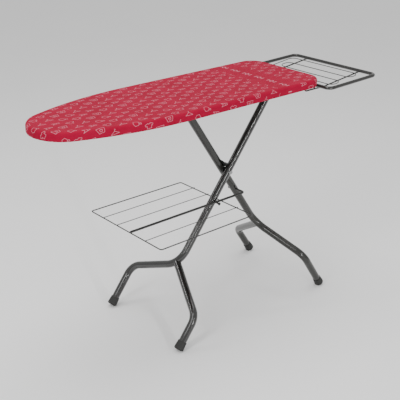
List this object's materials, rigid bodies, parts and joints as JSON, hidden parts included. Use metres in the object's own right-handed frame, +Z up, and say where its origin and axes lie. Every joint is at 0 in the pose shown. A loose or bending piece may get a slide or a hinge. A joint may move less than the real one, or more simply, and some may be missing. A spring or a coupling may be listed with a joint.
{
  "type": "ironing board",
  "caption": "Free-standing folding ironing board: padded table on crossed single-tube legs, with wire shelf below and hinged wire iron rest at the wide end.",
  "frame": {"origin": "on the floor, under the middle of the whole object", "axes": "+X from the rounded nose to the iron rest, +Z up, +Y to the left when looking from nose to rest"},
  "size_m": [1.45, 0.462, 0.902],
  "materials": {
    "cover_fabric": "woven cotton, printed",
    "felt": "soft felt",
    "leg_coating": "gloss powder coat",
    "wire_coating": "satin powder coat",
    "table_enamel": "satin enamel",
    "foot_rubber": "matt moulded",
    "black_plastic": "moulded",
    "zinc_steel": "zinc plated"
  },
  "bodies": {
    "table": {"bracket_rivets": "zinc_steel", "cover": "cover_fabric", "felt_pad": "felt", "hinge_bracket_left": "table_enamel", "hinge_bracket_right": "table_enamel", "lever_bracket": "table_enamel", "lever_pin": "zinc_steel", "lever_spring": "zinc_steel", "panel_brace_end": "table_enamel", "panel_brace_hinge": "table_enamel", "panel_brace_middle": "table_enamel", "panel_brace_nose": "table_enamel", "rack_rail_left": "table_enamel", "rack_rail_right": "table_enamel", "rack_tie_rods": "table_enamel", "rest_clip_left": "table_enamel", "rest_clip_right": "table_enamel", "table_panel": "table_enamel", "table_rim": "table_enamel"},
    "leg_a": {"leg_a_bar_plug_left": "black_plastic", "leg_a_bar_plug_right": "black_plastic", "leg_a_branch": "leg_coating", "leg_a_foot_left": "foot_rubber", "leg_a_foot_right": "foot_rubber", "leg_a_hinge_bar": "leg_coating", "leg_a_tube": "leg_coating", "pivot_bolt": "zinc_steel", "pivot_nut": "zinc_steel", "shelf_peg": "black_plastic"},
    "leg_b": {"leg_b_bar_plug_left": "black_plastic", "leg_b_bar_plug_right": "black_plastic", "leg_b_branch": "leg_coating", "leg_b_foot_left": "foot_rubber", "leg_b_foot_right": "foot_rubber", "leg_b_slide_bar": "leg_coating", "leg_b_tube": "leg_coating", "pivot_saddle": "black_plastic", "pivot_washer": "black_plastic"},
    "shelf": {"shelf_bar": "wire_coating", "shelf_bar_cap": "foot_rubber", "shelf_frame": "wire_coating", "shelf_wires": "wire_coating"},
    "iron_rest": {"rest_frame": "wire_coating", "rest_grid": "wire_coating", "rest_posts": "wire_coating", "rest_rail_left": "wire_coating", "rest_rail_right": "wire_coating"},
    "release": {"lever_grip": "black_plastic", "release_lever": "table_enamel"}
  },
  "joints": [
    {"name": "fold", "type": "hinge", "parent": "table", "child": "leg_a", "pos_m": [0.33977, 0, 0.855], "axis": [0, 1, 0], "range_deg": [0, 47]},
    {"name": "scissor", "type": "hinge", "parent": "leg_a", "child": "leg_b", "pos_m": [0.105, 0, 0.549], "axis": [0, 1, 0], "range_deg": [-97.83, 0]},
    {"name": "shelf_swing", "type": "hinge", "parent": "leg_b", "child": "shelf", "pos_m": [0.17095, 0, 0.44975], "axis": [0, 1, 0], "range_deg": [0, 50.82]},
    {"name": "rest_lift", "type": "hinge", "parent": "table", "child": "iron_rest", "pos_m": [0.441, 0, 0.861], "axis": [0, -1, 0], "range_deg": [0, 88]},
    {"name": "release_squeeze", "type": "hinge", "parent": "table", "child": "release", "pos_m": [-0.05032, -0.1, 0.868], "axis": [0, 0, 1], "range_deg": [0, 12], "stiffness_Nm_per_rad": 0.4, "springref_deg": -8.59}
  ],
  "couplings": [
    {"joint": "scissor", "follows": "fold", "ratio": -2.077},
    {"joint": "shelf_swing", "follows": "fold", "ratio": 1.077}
  ]
}
